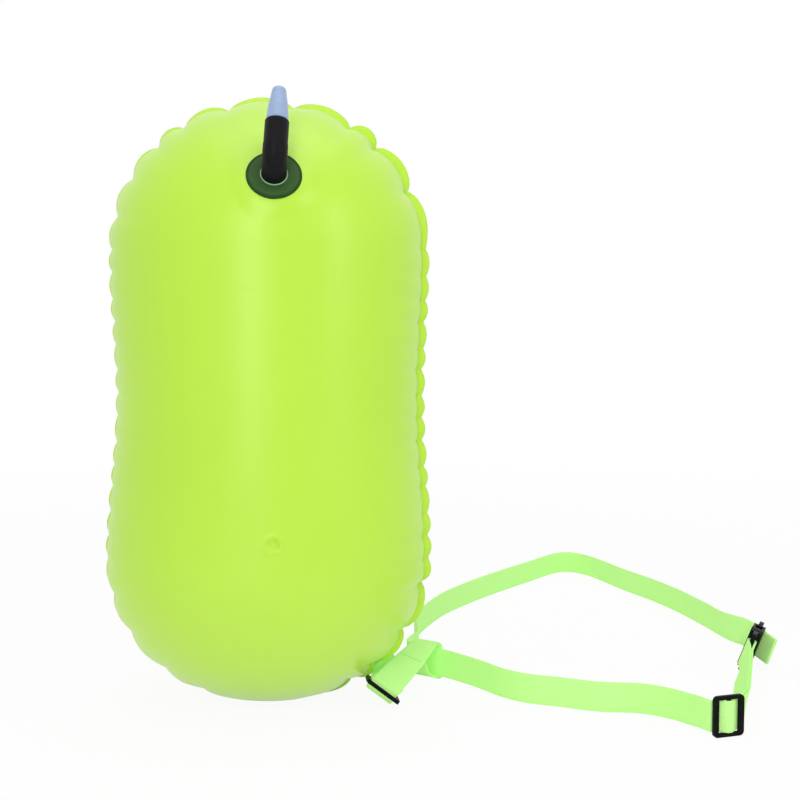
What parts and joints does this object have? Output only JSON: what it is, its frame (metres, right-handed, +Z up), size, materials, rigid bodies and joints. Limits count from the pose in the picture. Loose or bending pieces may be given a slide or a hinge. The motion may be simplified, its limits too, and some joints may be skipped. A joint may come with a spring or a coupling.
{
  "type": "open water swim buoy",
  "caption": "Inflated swim tow float with an oral valve, a leash and an adjustable waist belt with a side release buckle.",
  "frame": {"origin": "on the flat foot under the middle of the bladder, where its lower end touches the floor", "axes": "+Z up along the bladder, -Y towards the side with the valve, +X towards the side with the leash and the belt"},
  "size_m": [0.5963, 0.6255, 0.5017],
  "materials": {
    "lime_film": "smooth inflated film, satin",
    "black_rubber": "moulded, satin",
    "weld_bead": "clear weld bead",
    "pale_blue_plastic": "moulded, semi gloss",
    "natural_plastic": "moulded, natural",
    "green_webbing": "woven webbing",
    "green_thread": "polyester thread",
    "black_plastic": "moulded, semi gloss"
  },
  "bodies": {
    "buoy": {"front_panel": "lime_film", "back_panel": "lime_film", "valve_flange": "black_rubber", "valve_weld_ring": "weld_bead", "inflation_tube": "black_rubber", "valve_insert": "natural_plastic", "anchor_tab": "green_webbing", "anchor_tab_stitch": "green_thread", "anchor_ring": "black_plastic", "leash_strap": "green_webbing", "leash_ring_stitch": "green_thread", "leash_loop_stitch": "green_thread", "leash_slider": "black_plastic", "belt_near_strand": "green_webbing", "belt_slider": "black_plastic", "buckle_plug": "black_plastic"},
    "valve_mouthpiece": {"mouthpiece": "pale_blue_plastic", "stem_plug": "natural_plastic", "plug_o_ring": "black_rubber"},
    "far_belt": {"buckle_socket": "black_plastic", "belt_far_strand": "green_webbing", "far_tail_stitch": "green_thread"},
    "upper_prong": {"release_prong_upper": "black_plastic"},
    "lower_prong": {"release_prong_lower": "black_plastic"}
  },
  "joints": [
    {"name": "valve_pull", "type": "slide", "parent": "buoy", "child": "valve_mouthpiece", "axis": [0.0349, 0.3418, 0.9391], "range_m": [0, 0.003]},
    {"name": "buckle_part", "type": "slide", "parent": "buoy", "child": "far_belt", "axis": [0.4003, 0.9164, 0], "range_m": [0, 0.024]},
    {"name": "upper_prong_squeeze", "type": "hinge", "parent": "buoy", "child": "upper_prong", "pos_m": [0.43294, 0.07791, 0.03169], "axis": [-0.8611, 0.3762, 0.342], "range_deg": [0, 8], "stiffness_Nm_per_rad": 0.2},
    {"name": "lower_prong_squeeze", "type": "hinge", "parent": "buoy", "child": "lower_prong", "pos_m": [0.42454, 0.08159, 0.0065], "axis": [-0.8611, 0.3762, 0.342], "range_deg": [-8, 0], "stiffness_Nm_per_rad": 0.2}
  ],
  "couplings": [
    {"joint": "lower_prong_squeeze", "follows": "upper_prong_squeeze", "ratio": -1}
  ]
}
